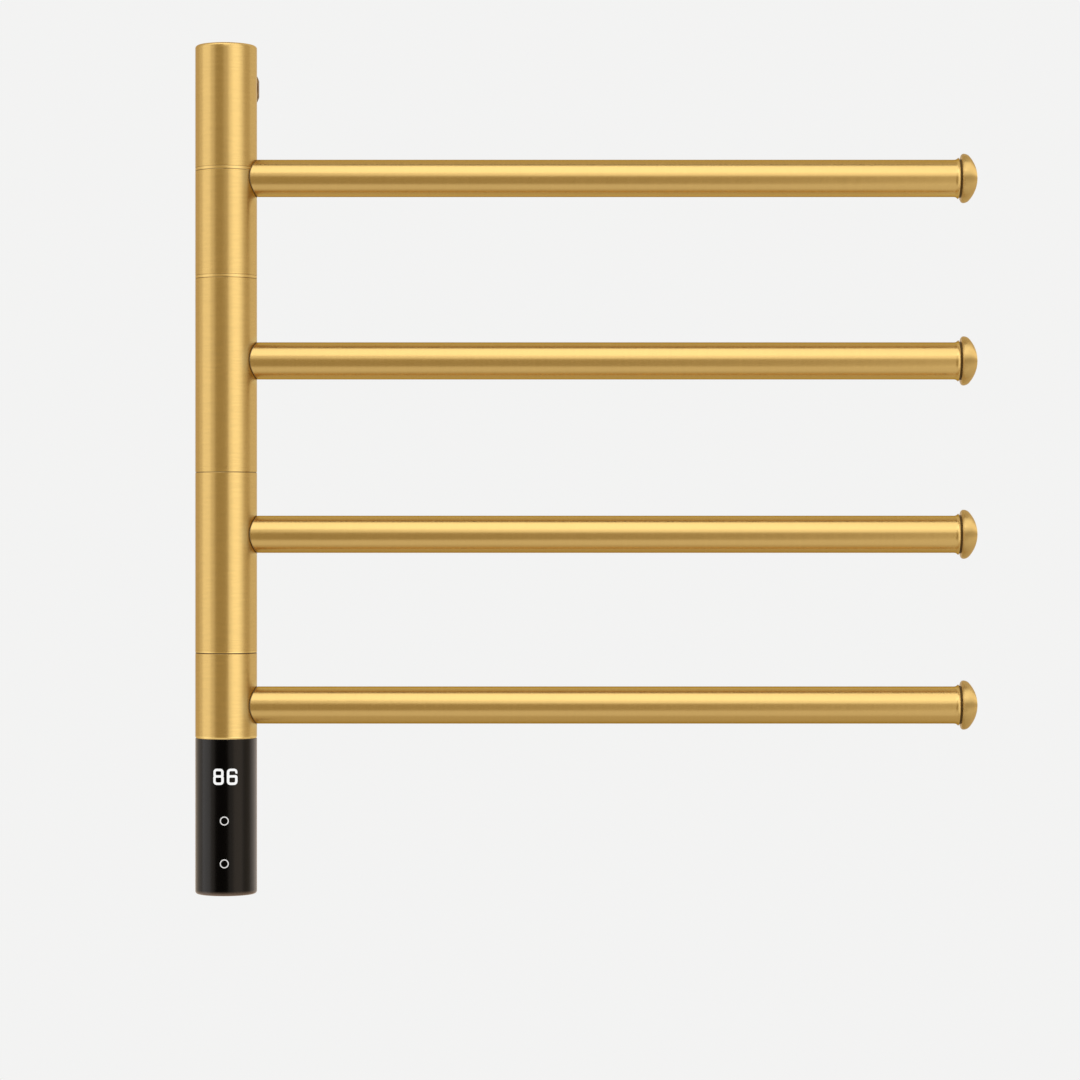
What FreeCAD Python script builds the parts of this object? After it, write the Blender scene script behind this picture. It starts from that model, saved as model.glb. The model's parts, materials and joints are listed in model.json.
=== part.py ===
import FreeCAD, Part
import math
import os
from FreeCAD import Vector

# A wall-hung heated towel rail. A fixed core tube carries four sleeves, and each sleeve swings one
# heated arm about the column. All sizes are in millimetres. While it is modelled, the column's axis
# is the Z axis with the underside at z = 0, the arms point along +X, the room is at -Y and the wall
# at +Y. The finished pieces are then moved so that the origin lies on the wall, at the upper fixing.

# Column stack, from the underside upwards
control_height = 106.0
sleeve_4_length = 57.8
sleeve_3_length = 122.9
sleeve_2_length = 131.9
sleeve_1_length = 71.2
top_section_height = 83.5
washer_thickness = 0.3
spacer_thickness = 2.2

# Heights of the arms in their sleeves, from the nearer end of each sleeve
arm_1_drop = 4.7
arm_2_drop = 55.9
arm_3_drop = 42.1
arm_4_rise = 22.3

# Column tubes
column_diameter = 42.0
sleeve_wall = 2.0
core_diameter = 25.0
core_wall = 2.5
seam_lip_height = 0.3
seam_lip_depth = 0.1
foot_lip_height = 1.0
foot_lip_depth = 0.35
spacer_crown = 0.08
spacer_groove_width = 0.2
spacer_groove_depth = 0.5
washer_recess = 0.6

# Swivel: hub and bushes on the core, and the hollow spigot that stops the arm in the core's slot
hub_height = 20.0
bush_height = 6.0
thread_diameter = 8.0
nose_diameter = 6.0
nose_overrun = 1.0
lead_bore_diameter = 3.6
swing_angle = 180.0

# Arms
arm_reach = 497.0
arm_diameter = 25.4
arm_wall = 1.5
plug_start = 23.0
plug_length = 24.0
heater_diameter = 8.0
heater_seat_depth = 16.0
heater_lead_diameter = 2.8
heater_lead_reach = 6.0

# Arm ends: a lipped collar, a dark seal in the groove behind it and a domed cap
collar_length = 3.0
collar_rim_diameter = 28.0
collar_lip_radius = 0.3
collar_spigot_length = 6.0
seal_thickness = 1.6
seal_recess = 1.0
cap_diameter = 33.6
cap_edge_radius = 1.7
cap_rim_width = 0.1
cap_dome_height = 9.5
cap_shoulder_radius = 5.0
cap_spigot_diameter = 16.0
cap_spigot_length = 13.0

# Column ends
end_cap_height = 3.0
end_cap_fillet = 2.0
end_cap_spigot_depth = 6.0
end_cap_spigot_wall = 2.5

# Control section
housing_wall = 2.0
core_foot = 14.0
collar_height = 12.0
board_seat = 8.0
board_width = 18.6
board_thickness = 1.6
board_end_gap = 2.0
display_drop = 25.2
display_width = 18.0
display_height = 15.0
display_depth = 6.6
touch_rise_upper = 51.1
touch_rise_lower = 22.1
touch_pad_diameter = 8.0
power_module_gap = 4.5
power_module_height = 26.0
power_module_width = 11.0
power_module_depth = 9.0
terminal_rise = 20.0
terminal_height = 10.0
terminal_width = 10.0
terminal_depth = 7.0
terminal_count = 3
terminal_hole_diameter = 1.6
terminal_hole_depth = 3.5
loom_diameter = 5.0
loom_bend_radius = 8.0
loom_end_drop = 6.0

# Wall fixings
wall_distance = 50.0
upper_fixing_drop = 23.1
lower_fixing_rise = 40.0
anchor_height = 24.0
post_diameter = 22.0
rosette_diameter = 38.6
rosette_flats = 37.0
rosette_thickness = 9.0
rosette_edge_radius = 1.0
post_root_radius = 4.0
lower_standoff_diameter = 29.0
lower_spigot_diameter = 16.0
cable_entry_diameter = 10.0
cable_way_diameter = 9.0
boss_thickness = 6.5
boss_cover_wall = 4.1
lower_boss_cover_wall = 1.8
upper_screw_spacing = 18.0
upper_screw_hole_diameter = 4.6
upper_screw_head_diameter = 8.8
lower_screw_spacing = 17.2
lower_screw_hole_diameter = 3.6
lower_screw_head_diameter = 6.4
bolt_diameter = 8.0
bolt_head_diameter = 13.0
bolt_head_height = 8.0
bolt_tip_distance = 14.0
set_screw_diameter = 4.0
set_screw_sink = 0.5

# Clearances, all measured on the radius or across one gap
running_clearance = 0.05
fit_clearance = 0.02
swivel_clearance = 0.3
slot_clearance = 0.2
boss_clearance = 0.2
root_gap = 0.4
through_cut = 1.0

# Radii and heights worked out from the sizes above
column_radius = column_diameter / 2
sleeve_bore = column_radius - sleeve_wall
core_radius = core_diameter / 2
core_bore = core_radius - core_wall
turning_bore = core_radius + running_clearance
top_section_bore = sleeve_bore + swivel_clearance
housing_bore = column_radius - housing_wall
arm_radius = arm_diameter / 2
arm_bore = arm_radius - arm_wall
thread_radius = thread_diameter / 2
nose_radius = nose_diameter / 2

sleeve_4_bottom = control_height + washer_thickness
sleeve_4_top = sleeve_4_bottom + sleeve_4_length
sleeve_3_bottom = sleeve_4_top + washer_thickness
sleeve_3_top = sleeve_3_bottom + sleeve_3_length
sleeve_2_bottom = sleeve_3_top + washer_thickness
sleeve_2_top = sleeve_2_bottom + sleeve_2_length
sleeve_1_bottom = sleeve_2_top + spacer_thickness
sleeve_1_top = sleeve_1_bottom + sleeve_1_length
top_section_bottom = sleeve_1_top + spacer_thickness
column_height = top_section_bottom + top_section_height
top_section_top = column_height - end_cap_height

upper_fixing_height = column_height - upper_fixing_drop
core_top = upper_fixing_height + anchor_height / 2
collar_bottom = control_height - collar_height
board_bottom = core_foot
board_top = collar_bottom - board_end_gap
loom_start_height = board_top - loom_end_drop

# Bevels at the ends of the sleeves, as height and depth
seam_lip = (seam_lip_height, seam_lip_depth)
foot_lip = (foot_lip_height, foot_lip_depth)

# Each arm: its number, the ends of its sleeve, the height of its axis and the sleeve's lower bevel
arms = [
    (1, sleeve_1_bottom, sleeve_1_top, sleeve_1_top - arm_1_drop, seam_lip),
    (2, sleeve_2_bottom, sleeve_2_top, sleeve_2_top - arm_2_drop, seam_lip),
    (3, sleeve_3_bottom, sleeve_3_top, sleeve_3_top - arm_3_drop, seam_lip),
    (4, sleeve_4_bottom, sleeve_4_top, sleeve_4_bottom + arm_4_rise, foot_lip),
]
arm_heights = [height for number, bottom, top, height, lower_lip in arms]
top_arm_height = arm_heights[0]

x_axis = Vector(1, 0, 0)
y_axis = Vector(0, 1, 0)
z_axis = Vector(0, 0, 1)
centre = Vector(0, 0, 0)


# Two points closer than this are one point of an outline
same_point = 1e-7


# Building blocks

def upright(radius, bottom, top):
    """A solid round bar on the column's axis."""
    return Part.makeCylinder(radius, top - bottom, Vector(0, 0, bottom), z_axis)


def ring(outer, bore, bottom, top):
    """A plain ring on the column's axis."""
    return upright(outer, bottom, top).cut(upright(bore, bottom - through_cut, top + through_cut))


def along_x(radius, start, end, height):
    """A solid round bar on an arm's axis."""
    return Part.makeCylinder(radius, end - start, Vector(start, 0, height), x_axis)


def along_y(radius, start, end, height, side=0.0):
    """A solid round bar that runs from the room towards the wall."""
    return Part.makeCylinder(radius, end - start, Vector(side, start, height), y_axis)


def block(width, front, back, bottom, top):
    """A box centred on the column from side to side, between a front and a back plane."""
    return Part.makeBox(width, back - front, top - bottom, Vector(-width / 2, front, bottom))


def turned(outline, axis):
    """Turns a closed outline, given as points and finished edges in order, about an axis."""
    edges = []
    for start, end in zip(outline, outline[1:] + outline[:1]):
        if isinstance(start, Vector):
            finish = end if isinstance(end, Vector) else end.StartPoint
            if not start.isEqual(finish, same_point):
                edges.append(Part.makeLine(start, finish))
        else:
            edges.append(start.toShape())
            finish = end if isinstance(end, Vector) else end.StartPoint
            if not start.EndPoint.isEqual(finish, same_point):
                edges.append(Part.makeLine(start.EndPoint, finish))
    face = Part.Face(Part.Wire(edges))
    return face.revolve(centre, axis, 360)


def on_arm(x, radius):
    """A point of an outline that is turned about the X axis."""
    return Vector(x, 0, radius)


def on_column(radius, height):
    """A point of an outline that is turned about the column's axis."""
    return Vector(radius, 0, height)


def on_standoff(y, radius):
    """A point of an outline that is turned about the Y axis."""
    return Vector(radius, y, 0)


def rounded_corner(start, corner, end):
    """The quarter arc from start to end that rounds the square corner between them."""
    middle = start + end - corner
    return Part.Arc(start, middle + (corner - middle) * math.sqrt(0.5), end)


def at_height(shape, height):
    """A turned arm or standoff piece, lifted to its height."""
    shape.translate(Vector(0, 0, height))
    return shape


def save(name, *solids):
    """Writes one node, moved into the frame of the wall."""
    shape = solids[0] if len(solids) == 1 else Part.makeCompound(solids)
    shape.translate(Vector(0, -wall_distance, -upper_fixing_height))
    shape.exportStep(os.path.join("parts", name + ".step"))


# Fixed column pieces

def core_tube():
    """The tube that carries the stack, slotted for each arm's nose and open to the control board."""
    body = ring(core_radius, core_bore, core_foot, core_top)
    slot_half = nose_radius + slot_clearance
    inner = core_bore - through_cut
    outer = core_radius + through_cut
    for height in arm_heights:
        profile = Part.makePolygon([
            on_column(inner, height - slot_half),
            on_column(outer, height - slot_half),
            on_column(outer, height + slot_half),
            on_column(inner, height + slot_half),
            on_column(inner, height - slot_half),
        ])
        sweep = Part.Face(profile).revolve(centre, Vector(0, 0, -1), swing_angle)
        first_end = along_x(slot_half, inner, outer, height)
        last_end = first_end.copy()
        last_end.rotate(centre, Vector(0, 0, -1), swing_angle)
        body = body.cut(sweep.fuse([first_end, last_end]))
    window = block(column_diameter, -column_radius, -board_seat, core_foot - through_cut, collar_bottom)
    cable_hole = along_y(cable_way_diameter / 2, 0, column_radius, lower_fixing_rise)
    return body.cut(window).cut(cable_hole)


def top_section():
    """The fixed sleeve above the top arm, with the hole for the standoff's bolt."""
    body = turned([
        on_column(top_section_bore, top_section_bottom),
        on_column(column_radius - seam_lip_depth, top_section_bottom),
        on_column(column_radius, top_section_bottom + seam_lip_height),
        on_column(column_radius, top_section_top),
        on_column(top_section_bore, top_section_top),
    ], z_axis)
    bolt_hole = bolt_diameter / 2 + fit_clearance
    return body.cut(along_y(bolt_hole, 0, column_radius + through_cut, upper_fixing_height))


def end_cap(bore, outside, inside):
    """A shallow cap with a rounded edge and a ring spigot; outside and inside are heights."""
    into = math.copysign(1.0, inside - outside)
    spigot_end = inside + into * end_cap_spigot_depth
    spigot_radius = bore - fit_clearance
    corner = rounded_corner(
        on_column(column_radius - end_cap_fillet, outside),
        on_column(column_radius, outside),
        on_column(column_radius, outside + into * end_cap_fillet),
    )
    return turned([
        on_column(0, outside),
        corner,
        on_column(column_radius, inside),
        on_column(spigot_radius, inside),
        on_column(spigot_radius, spigot_end),
        on_column(spigot_radius - end_cap_spigot_wall, spigot_end),
        on_column(spigot_radius - end_cap_spigot_wall, inside),
        on_column(0, inside),
    ], z_axis)


def upper_anchor():
    """The ring between core and top section that takes the standoff's bolt."""
    half = anchor_height / 2
    body = ring(
        top_section_bore - fit_clearance,
        core_radius,
        upper_fixing_height - half,
        upper_fixing_height + half,
    )
    return body.cut(along_y(bolt_diameter / 2, 0, column_radius, upper_fixing_height))


def lower_collar():
    """The ring in the mouth of the control section, which carries the stack of sleeves."""
    return ring(housing_bore - fit_clearance, core_radius, collar_bottom, control_height)


def lower_anchor():
    """The ring that ties the core to the hollow lower standoff, cut flat behind the control board."""
    half = anchor_height / 2
    bottom = lower_fixing_rise - half
    top = lower_fixing_rise + half
    body = ring(housing_bore - fit_clearance, core_radius, bottom, top)
    front = block(
        column_diameter,
        -column_radius,
        -board_seat + swivel_clearance,
        bottom - through_cut,
        top + through_cut,
    )
    spigot_hole = along_y(lower_spigot_diameter / 2, 0, column_radius, lower_fixing_rise)
    return body.cut(front).cut(spigot_hole)


def spacer_ring(bore, bottom):
    """A bright crowned ring that parts two lengths of the column, between two fine grooves."""
    edge = column_radius - spacer_crown
    groove = column_radius - spacer_groove_depth
    top = bottom + spacer_thickness
    band_bottom = bottom + spacer_groove_width
    band_top = top - spacer_groove_width
    crown = Part.Arc(
        on_column(edge, band_bottom),
        on_column(column_radius, (bottom + top) / 2),
        on_column(edge, band_top),
    )
    return turned([
        on_column(bore, bottom),
        on_column(groove, bottom),
        on_column(groove, band_bottom),
        crown,
        on_column(groove, band_top),
        on_column(groove, top),
        on_column(bore, top),
    ], z_axis)


def slip_washer(bottom):
    """A thin dark washer that a sleeve turns on."""
    rim = column_radius - washer_recess
    return ring(rim, core_radius + swivel_clearance, bottom, bottom + washer_thickness)


# Control section

def control_housing():
    """The smoked black tube round the electronics, with the hole for the lower standoff."""
    body = ring(column_radius, housing_bore, end_cap_height, control_height)
    hole = lower_spigot_diameter / 2 + fit_clearance
    return body.cut(along_y(hole, 0, column_radius + through_cut, lower_fixing_rise))


def control_board():
    """The circuit board, seated on the edges of the core's window."""
    return block(board_width, -board_seat - board_thickness, -board_seat, board_bottom, board_top)


def led_display():
    """The two-digit display on the front of the board."""
    board_front = -board_seat - board_thickness
    middle = control_height - display_drop
    half = display_height / 2
    return block(display_width, board_front - display_depth, board_front, middle - half, middle + half)


def touch_pad(height):
    """A soft conductive pad between the board and the inside of the housing."""
    bar = along_y(touch_pad_diameter / 2, -column_radius, -board_seat - board_thickness, height)
    inside = upright(housing_bore - fit_clearance, 0, control_height)
    return bar.common(inside)


def power_module():
    """The supply and switching block on the back of the board, inside the core, below the loom."""
    top = loom_start_height - loom_diameter / 2 - power_module_gap
    return block(
        power_module_width,
        -board_seat,
        -board_seat + power_module_depth,
        top - power_module_height,
        top,
    )


def terminal_block():
    """The terminals for the hidden supply, below the cable entry, with a row of wire holes."""
    back = -board_seat + terminal_depth
    top = terminal_rise + terminal_height
    body = block(terminal_width, -board_seat, back, terminal_rise, top)
    middle = terminal_rise + terminal_height / 2
    pitch = terminal_width / terminal_count
    for index in range(terminal_count):
        side = (index + 0.5) * pitch - terminal_width / 2
        hole = terminal_hole_diameter / 2
        body = body.cut(along_y(hole, back - terminal_hole_depth, back + through_cut, middle, side))
    return body


def wiring_loom():
    """The bundle that leaves the board, bends and climbs the back of the core to the top arm."""
    radius = loom_diameter / 2
    back = core_bore - radius - swivel_clearance
    start = Vector(0, -board_seat, loom_start_height)
    bend_start = Vector(0, back - loom_bend_radius, loom_start_height)
    bend_corner = Vector(0, back, loom_start_height)
    bend_end = Vector(0, back, loom_start_height + loom_bend_radius)
    route = Part.Wire([
        Part.makeLine(start, bend_start),
        rounded_corner(bend_start, bend_corner, bend_end).toShape(),
        Part.makeLine(bend_end, Vector(0, back, top_arm_height)),
    ])
    section = Part.Wire(Part.makeCircle(radius, start, y_axis))
    return route.makePipeShell([section], True, False)


# Wall fixings

def upper_standoff():
    """A turned post with a saddle for the column, and a rosette with two flats over the wall boss."""
    post = post_diameter / 2
    rosette = rosette_diameter / 2
    front = wall_distance - rosette_thickness
    root_arc = rounded_corner(
        on_standoff(front - post_root_radius, post),
        on_standoff(front, post),
        on_standoff(front, post + post_root_radius),
    )
    edge_arc = rounded_corner(
        on_standoff(front, rosette - rosette_edge_radius),
        on_standoff(front, rosette),
        on_standoff(front + rosette_edge_radius, rosette),
    )
    body = at_height(turned([
        on_standoff(0, 0),
        on_standoff(0, post),
        root_arc,
        edge_arc,
        on_standoff(wall_distance, rosette),
        on_standoff(wall_distance, 0),
    ], y_axis), upper_fixing_height)
    cup_floor = wall_distance - boss_thickness - boss_clearance
    head_seat = cup_floor - bolt_head_height
    height = upper_fixing_height
    past_wall = wall_distance + through_cut
    flats = block(rosette_flats, 0, past_wall, height - rosette_diameter, height + rosette_diameter)
    body = body.common(flats)
    body = body.cut(upright(column_radius, 0, column_height))
    body = body.cut(along_y(rosette - boss_cover_wall, cup_floor, past_wall, height))
    body = body.cut(along_y(bolt_head_diameter / 2 + boss_clearance, head_seat, past_wall, height))
    body = body.cut(along_y(bolt_diameter / 2 + fit_clearance, 0, past_wall, height))
    return body.cut(set_screw_hole(rosette, height))


def lower_standoff():
    """A straight hollow standoff that leads the hidden supply from the wall into the core."""
    radius = lower_standoff_diameter / 2
    height = lower_fixing_rise
    past_wall = wall_distance + through_cut
    cup_floor = wall_distance - boss_thickness - boss_clearance
    body = along_y(radius, 0, wall_distance, height).cut(upright(column_radius, 0, control_height))
    spigot = along_y(lower_spigot_diameter / 2 - fit_clearance, 0, column_radius, height)
    spigot = spigot.cut(upright(core_radius + fit_clearance, 0, control_height))
    body = body.fuse(spigot).removeSplitter()
    body = body.cut(along_y(radius - lower_boss_cover_wall, cup_floor, past_wall, height))
    body = body.cut(along_y(cable_way_diameter / 2, 0, past_wall, height))
    return body.cut(set_screw_hole(radius, height))


def set_screw_hole(radius, height):
    """The hole for a set screw, up through the underside of a standoff's cover wall."""
    middle = wall_distance - boss_thickness / 2
    bottom = Vector(0, middle, height - radius - through_cut)
    return Part.makeCylinder(set_screw_diameter / 2, radius, bottom, z_axis)


def set_screw(radius, cover_wall, height):
    """A set screw from below, sunk in the cover wall, its tip against the rim of the wall boss."""
    middle = wall_distance - boss_thickness / 2
    length = cover_wall + boss_clearance - set_screw_sink
    tip = radius - cover_wall - boss_clearance
    bottom = Vector(0, middle, height - tip - length)
    return Part.makeCylinder(set_screw_diameter / 2 - fit_clearance, length, bottom, z_axis)


def wall_boss(radius, height, screw_spacing, screw_hole, screw_head):
    """A round boss that is screwed to the wall, with two countersunk holes one above the other."""
    front = wall_distance - boss_thickness
    body = along_y(radius, front, wall_distance, height)
    sink = (screw_head - screw_hole) / 2
    for side in (-1, 1):
        place = height + side * screw_spacing / 2
        head = Part.makeCone(screw_head / 2, screw_hole / 2, sink, Vector(0, front, place), y_axis)
        body = body.cut(along_y(screw_hole / 2, front, wall_distance, place)).cut(head)
    return body


def standoff_bolt():
    """The cap screw that pulls the upper standoff and the top section on to the upper anchor."""
    cup_floor = wall_distance - boss_thickness - boss_clearance
    head_seat = cup_floor - bolt_head_height
    height = upper_fixing_height
    head = along_y(bolt_head_diameter / 2, head_seat, cup_floor, height)
    shank = along_y(bolt_diameter / 2 - fit_clearance, bolt_tip_distance, head_seat, height)
    return head.fuse(shank)


# Swinging arms

def arm_sleeve(bottom, top, height, lower_lip):
    """The outer sleeve of one arm, bevelled at its seams and drilled for the spigot."""
    lip_height, lip_depth = lower_lip
    body = turned([
        on_column(sleeve_bore, bottom),
        on_column(column_radius - lip_depth, bottom),
        on_column(column_radius, bottom + lip_height),
        on_column(column_radius, top - seam_lip_height),
        on_column(column_radius - seam_lip_depth, top),
        on_column(sleeve_bore, top),
    ], z_axis)
    return body.cut(along_x(thread_radius + fit_clearance, 0, column_radius + through_cut, height))


def arm_hub(height):
    """The ring that turns on the core and holds the spigot's thread."""
    half = hub_height / 2
    body = ring(sleeve_bore - fit_clearance, turning_bore, height - half, height + half)
    return body.cut(along_x(thread_radius, 0, column_radius, height))


def arm_bushes(bottom, top, height):
    """Polymer bushes in the ends of a sleeve that the hub doesn't reach."""
    half = hub_height / 2
    outer = sleeve_bore - fit_clearance
    bushes = []
    if bottom + bush_height < height - half:
        bushes.append(ring(outer, turning_bore, bottom, bottom + bush_height))
    if top - bush_height > height + half:
        bushes.append(ring(outer, turning_bore, top - bush_height, top))
    return bushes


def arm_spigot(height):
    """The hollow spigot: nose in the core's slot, thread in the hub, plug in the arm's tube."""
    nose_start = core_bore - nose_overrun
    thread_start = turning_bore + slot_clearance
    thread = thread_radius - fit_clearance
    plug = arm_bore - fit_clearance
    plug_end = plug_start + plug_length
    seat = plug_end - heater_seat_depth
    heater = heater_diameter / 2 + fit_clearance
    lead = lead_bore_diameter / 2
    return at_height(turned([
        on_arm(nose_start, lead),
        on_arm(nose_start, nose_radius),
        on_arm(thread_start, nose_radius),
        on_arm(thread_start, thread),
        on_arm(plug_start, thread),
        on_arm(plug_start, plug),
        on_arm(plug_end, plug),
        on_arm(plug_end, heater),
        on_arm(seat, heater),
        on_arm(seat, lead),
    ], x_axis), height)


def arm_tube(height):
    """The arm's tube, its root shaped to the column with a fine shadow gap."""
    body = along_x(arm_radius, 0, arm_reach, height).cut(along_x(arm_bore, 0, arm_reach, height))
    clear = column_radius + root_gap
    return body.cut(upright(clear, height - column_diameter, height + column_diameter))


def heating_element(height):
    """The heating rod, seated in the spigot and the end cap, with its lead through the spigot."""
    seat = plug_start + plug_length - heater_seat_depth
    rod = heater_diameter / 2
    lead = heater_lead_diameter / 2
    return at_height(turned([
        on_arm(heater_lead_reach, 0),
        on_arm(heater_lead_reach, lead),
        on_arm(seat, lead),
        on_arm(seat, rod),
        on_arm(arm_reach, rod),
        on_arm(arm_reach, 0),
    ], x_axis), height)


def end_collar(height):
    """The collar on the arm's end: a hollow flare up to a rounded lip, and a spigot in the tube."""
    bore = cap_spigot_diameter / 2 + fit_clearance
    rim = collar_rim_diameter / 2
    end = arm_reach + collar_length
    spigot = arm_bore - fit_clearance
    flare_run = collar_length - collar_lip_radius
    flare_rise = rim - arm_radius
    flare_radius = (flare_run ** 2 + flare_rise ** 2) / (2 * flare_rise)
    flare_turn = math.asin(flare_run / flare_radius)

    def flare_at(angle):
        along = flare_radius * math.sin(angle)
        return on_arm(arm_reach + along, arm_radius + flare_radius * (1 - math.cos(angle)))

    flare = Part.Arc(flare_at(0), flare_at(flare_turn / 2), flare_at(flare_turn))
    lip = rounded_corner(
        flare_at(flare_turn),
        on_arm(end, rim),
        on_arm(end, rim - collar_lip_radius),
    )
    return at_height(turned([
        on_arm(arm_reach - collar_spigot_length, bore),
        on_arm(arm_reach - collar_spigot_length, spigot),
        on_arm(arm_reach, spigot),
        flare,
        lip,
        on_arm(end, bore),
    ], x_axis), height)


def end_seal(height):
    """The dark sealing ring between collar and cap, set back from their rims."""
    start = arm_reach + collar_length
    outer = collar_rim_diameter / 2 - seal_recess
    bore = cap_spigot_diameter / 2 + fit_clearance
    body = along_x(outer, start, start + seal_thickness, height)
    return body.cut(along_x(bore, start, start + seal_thickness, height))


def arm_cap(height):
    """The domed end cap, with a rounded rim and a spigot that holds the heating rod's end."""
    rim = cap_diameter / 2
    start = arm_reach + collar_length + seal_thickness
    edge_end = start + cap_edge_radius
    dome_start = edge_end + cap_rim_width
    spigot = cap_spigot_diameter / 2
    spigot_start = start - cap_spigot_length
    heater = heater_diameter / 2 + fit_clearance
    shoulder_radius = cap_shoulder_radius
    shoulder_centre = rim - shoulder_radius
    crown_rise = cap_dome_height ** 2 + shoulder_centre ** 2 - shoulder_radius ** 2
    crown_radius = crown_rise / (2 * (cap_dome_height - shoulder_radius))
    crown_centre = dome_start + cap_dome_height - crown_radius
    meet = math.atan2(shoulder_centre, dome_start - crown_centre)

    def shoulder_at(angle):
        along = shoulder_radius * math.cos(angle)
        return on_arm(dome_start + along, shoulder_centre + shoulder_radius * math.sin(angle))

    def crown_at(angle):
        along = crown_radius * math.cos(angle)
        return on_arm(crown_centre + along, crown_radius * math.sin(angle))

    quarter = math.pi / 2
    edge = rounded_corner(
        on_arm(start, rim - cap_edge_radius),
        on_arm(start, rim),
        on_arm(edge_end, rim),
    )
    shoulder = Part.Arc(shoulder_at(quarter), shoulder_at((quarter + meet) / 2), shoulder_at(meet))
    crown = Part.Arc(shoulder_at(meet), crown_at(meet / 2), crown_at(0))
    return at_height(turned([
        on_arm(arm_reach, 0),
        on_arm(arm_reach, heater),
        on_arm(spigot_start, heater),
        on_arm(spigot_start, spigot),
        on_arm(start, spigot),
        edge,
        shoulder,
        crown,
    ], x_axis), height)


# Write the nodes

os.makedirs("parts", exist_ok=True)

save("core_tube", core_tube())
save("top_section", top_section())
save("top_cap", end_cap(top_section_bore, column_height, top_section_top))
save("upper_anchor", upper_anchor())
save("lower_collar", lower_collar())
save("lower_anchor", lower_anchor())
save(
    "spacer_rings",
    spacer_ring(top_section_bore, sleeve_1_top),
    spacer_ring(core_radius + swivel_clearance, sleeve_2_top),
)
save(
    "slip_washers",
    slip_washer(sleeve_3_top),
    slip_washer(sleeve_4_top),
    slip_washer(control_height),
)

save("control_housing", control_housing())
save("bottom_cap", end_cap(housing_bore, 0.0, end_cap_height))
save("control_board", control_board())
save("led_display", led_display())
save("touch_pads", touch_pad(touch_rise_upper), touch_pad(touch_rise_lower))
save("power_module", power_module())
save("terminal_block", terminal_block())
save("wiring_loom", wiring_loom())

upper_boss_radius = rosette_diameter / 2 - boss_cover_wall - boss_clearance
lower_boss_radius = lower_standoff_diameter / 2 - lower_boss_cover_wall - boss_clearance
save("upper_standoff", upper_standoff())
save("standoff_bolt", standoff_bolt())
save(
    "upper_wall_boss",
    wall_boss(
        upper_boss_radius,
        upper_fixing_height,
        upper_screw_spacing,
        upper_screw_hole_diameter,
        upper_screw_head_diameter,
    ),
)
save("lower_standoff", lower_standoff())
lower_boss = wall_boss(
    lower_boss_radius,
    lower_fixing_rise,
    lower_screw_spacing,
    lower_screw_hole_diameter,
    lower_screw_head_diameter,
)
cable_entry = along_y(cable_entry_diameter / 2, 0, wall_distance, lower_fixing_rise)
save("lower_wall_boss", lower_boss.cut(cable_entry))
save(
    "set_screws",
    set_screw(rosette_diameter / 2, boss_cover_wall, upper_fixing_height),
    set_screw(lower_standoff_diameter / 2, lower_boss_cover_wall, lower_fixing_rise),
)

for number, bottom, top, height, lower_lip in arms:
    arm = f"arm_{number}_"
    save(arm + "sleeve", arm_sleeve(bottom, top, height, lower_lip))
    save(arm + "hub", arm_hub(height))
    save(arm + "bushes", *arm_bushes(bottom, top, height))
    save(arm + "spigot", arm_spigot(height))
    save(arm + "tube", arm_tube(height))
    save(arm + "heating_element", heating_element(height))
    save(arm + "end_collar", end_collar(height))
    save(arm + "end_seal", end_seal(height))
    save(arm + "end_cap", arm_cap(height))
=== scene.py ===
import bpy
import bmesh
import json
import math
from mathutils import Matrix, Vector


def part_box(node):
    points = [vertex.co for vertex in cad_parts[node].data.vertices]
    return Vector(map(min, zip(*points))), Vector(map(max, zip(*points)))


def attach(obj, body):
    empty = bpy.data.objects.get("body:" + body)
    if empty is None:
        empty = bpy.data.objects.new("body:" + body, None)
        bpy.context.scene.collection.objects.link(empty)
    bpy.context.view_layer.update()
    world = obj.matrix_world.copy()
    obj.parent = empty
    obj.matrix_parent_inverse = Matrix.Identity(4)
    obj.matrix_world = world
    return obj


# A wall-hung towel rail in brushed gold with four swinging arms and a black control section with a
# lit display. Lengths are in metres: +X runs along the arms, +Z up and -Y towards the room.

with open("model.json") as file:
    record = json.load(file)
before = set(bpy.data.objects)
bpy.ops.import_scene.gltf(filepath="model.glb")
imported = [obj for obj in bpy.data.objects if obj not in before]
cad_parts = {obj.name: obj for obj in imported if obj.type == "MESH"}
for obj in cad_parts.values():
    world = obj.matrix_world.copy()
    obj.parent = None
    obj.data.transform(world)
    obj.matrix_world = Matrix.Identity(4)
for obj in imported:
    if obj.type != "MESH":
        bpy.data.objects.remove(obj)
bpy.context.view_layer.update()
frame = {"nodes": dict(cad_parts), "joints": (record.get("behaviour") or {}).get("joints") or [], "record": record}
nodes = frame["nodes"]
scene = bpy.context.scene

# Places that the looks depend on, read from the model
column_axis_y = frame["joints"][0]["pos_m"][1]
arm_heights = {number: frame["joints"][number - 1]["pos_m"][2] for number in (1, 2, 3, 4)}
sleeve_low, sleeve_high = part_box("arm_2_sleeve")
column_radius = (sleeve_high.x - sleeve_low.x) / 2
tube_low, tube_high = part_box("arm_2_tube")
arm_radius = (tube_high.z - tube_low.z) / 2
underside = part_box("bottom_cap")[0].z


# Helpers for node trees

unit = (0.0, 1.0)
noise_range = (0.3, 0.7)
white = (1.0, 1.0, 1.0)
micrometre = 0.000001


def new_material(name):
    """A node material, with its tree, its principled shader and its texture coordinates."""
    made = bpy.data.materials.new(name)
    made.use_nodes = True
    tree = made.node_tree
    shader = tree.nodes["Principled BSDF"]
    place = tree.nodes.new("ShaderNodeTexCoord")
    return made, tree, shader, place.outputs["Object"]


def set_inputs(node, values):
    """Sets sockets by their names."""
    for socket, value in values.items():
        node.inputs[socket].default_value = value


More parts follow.
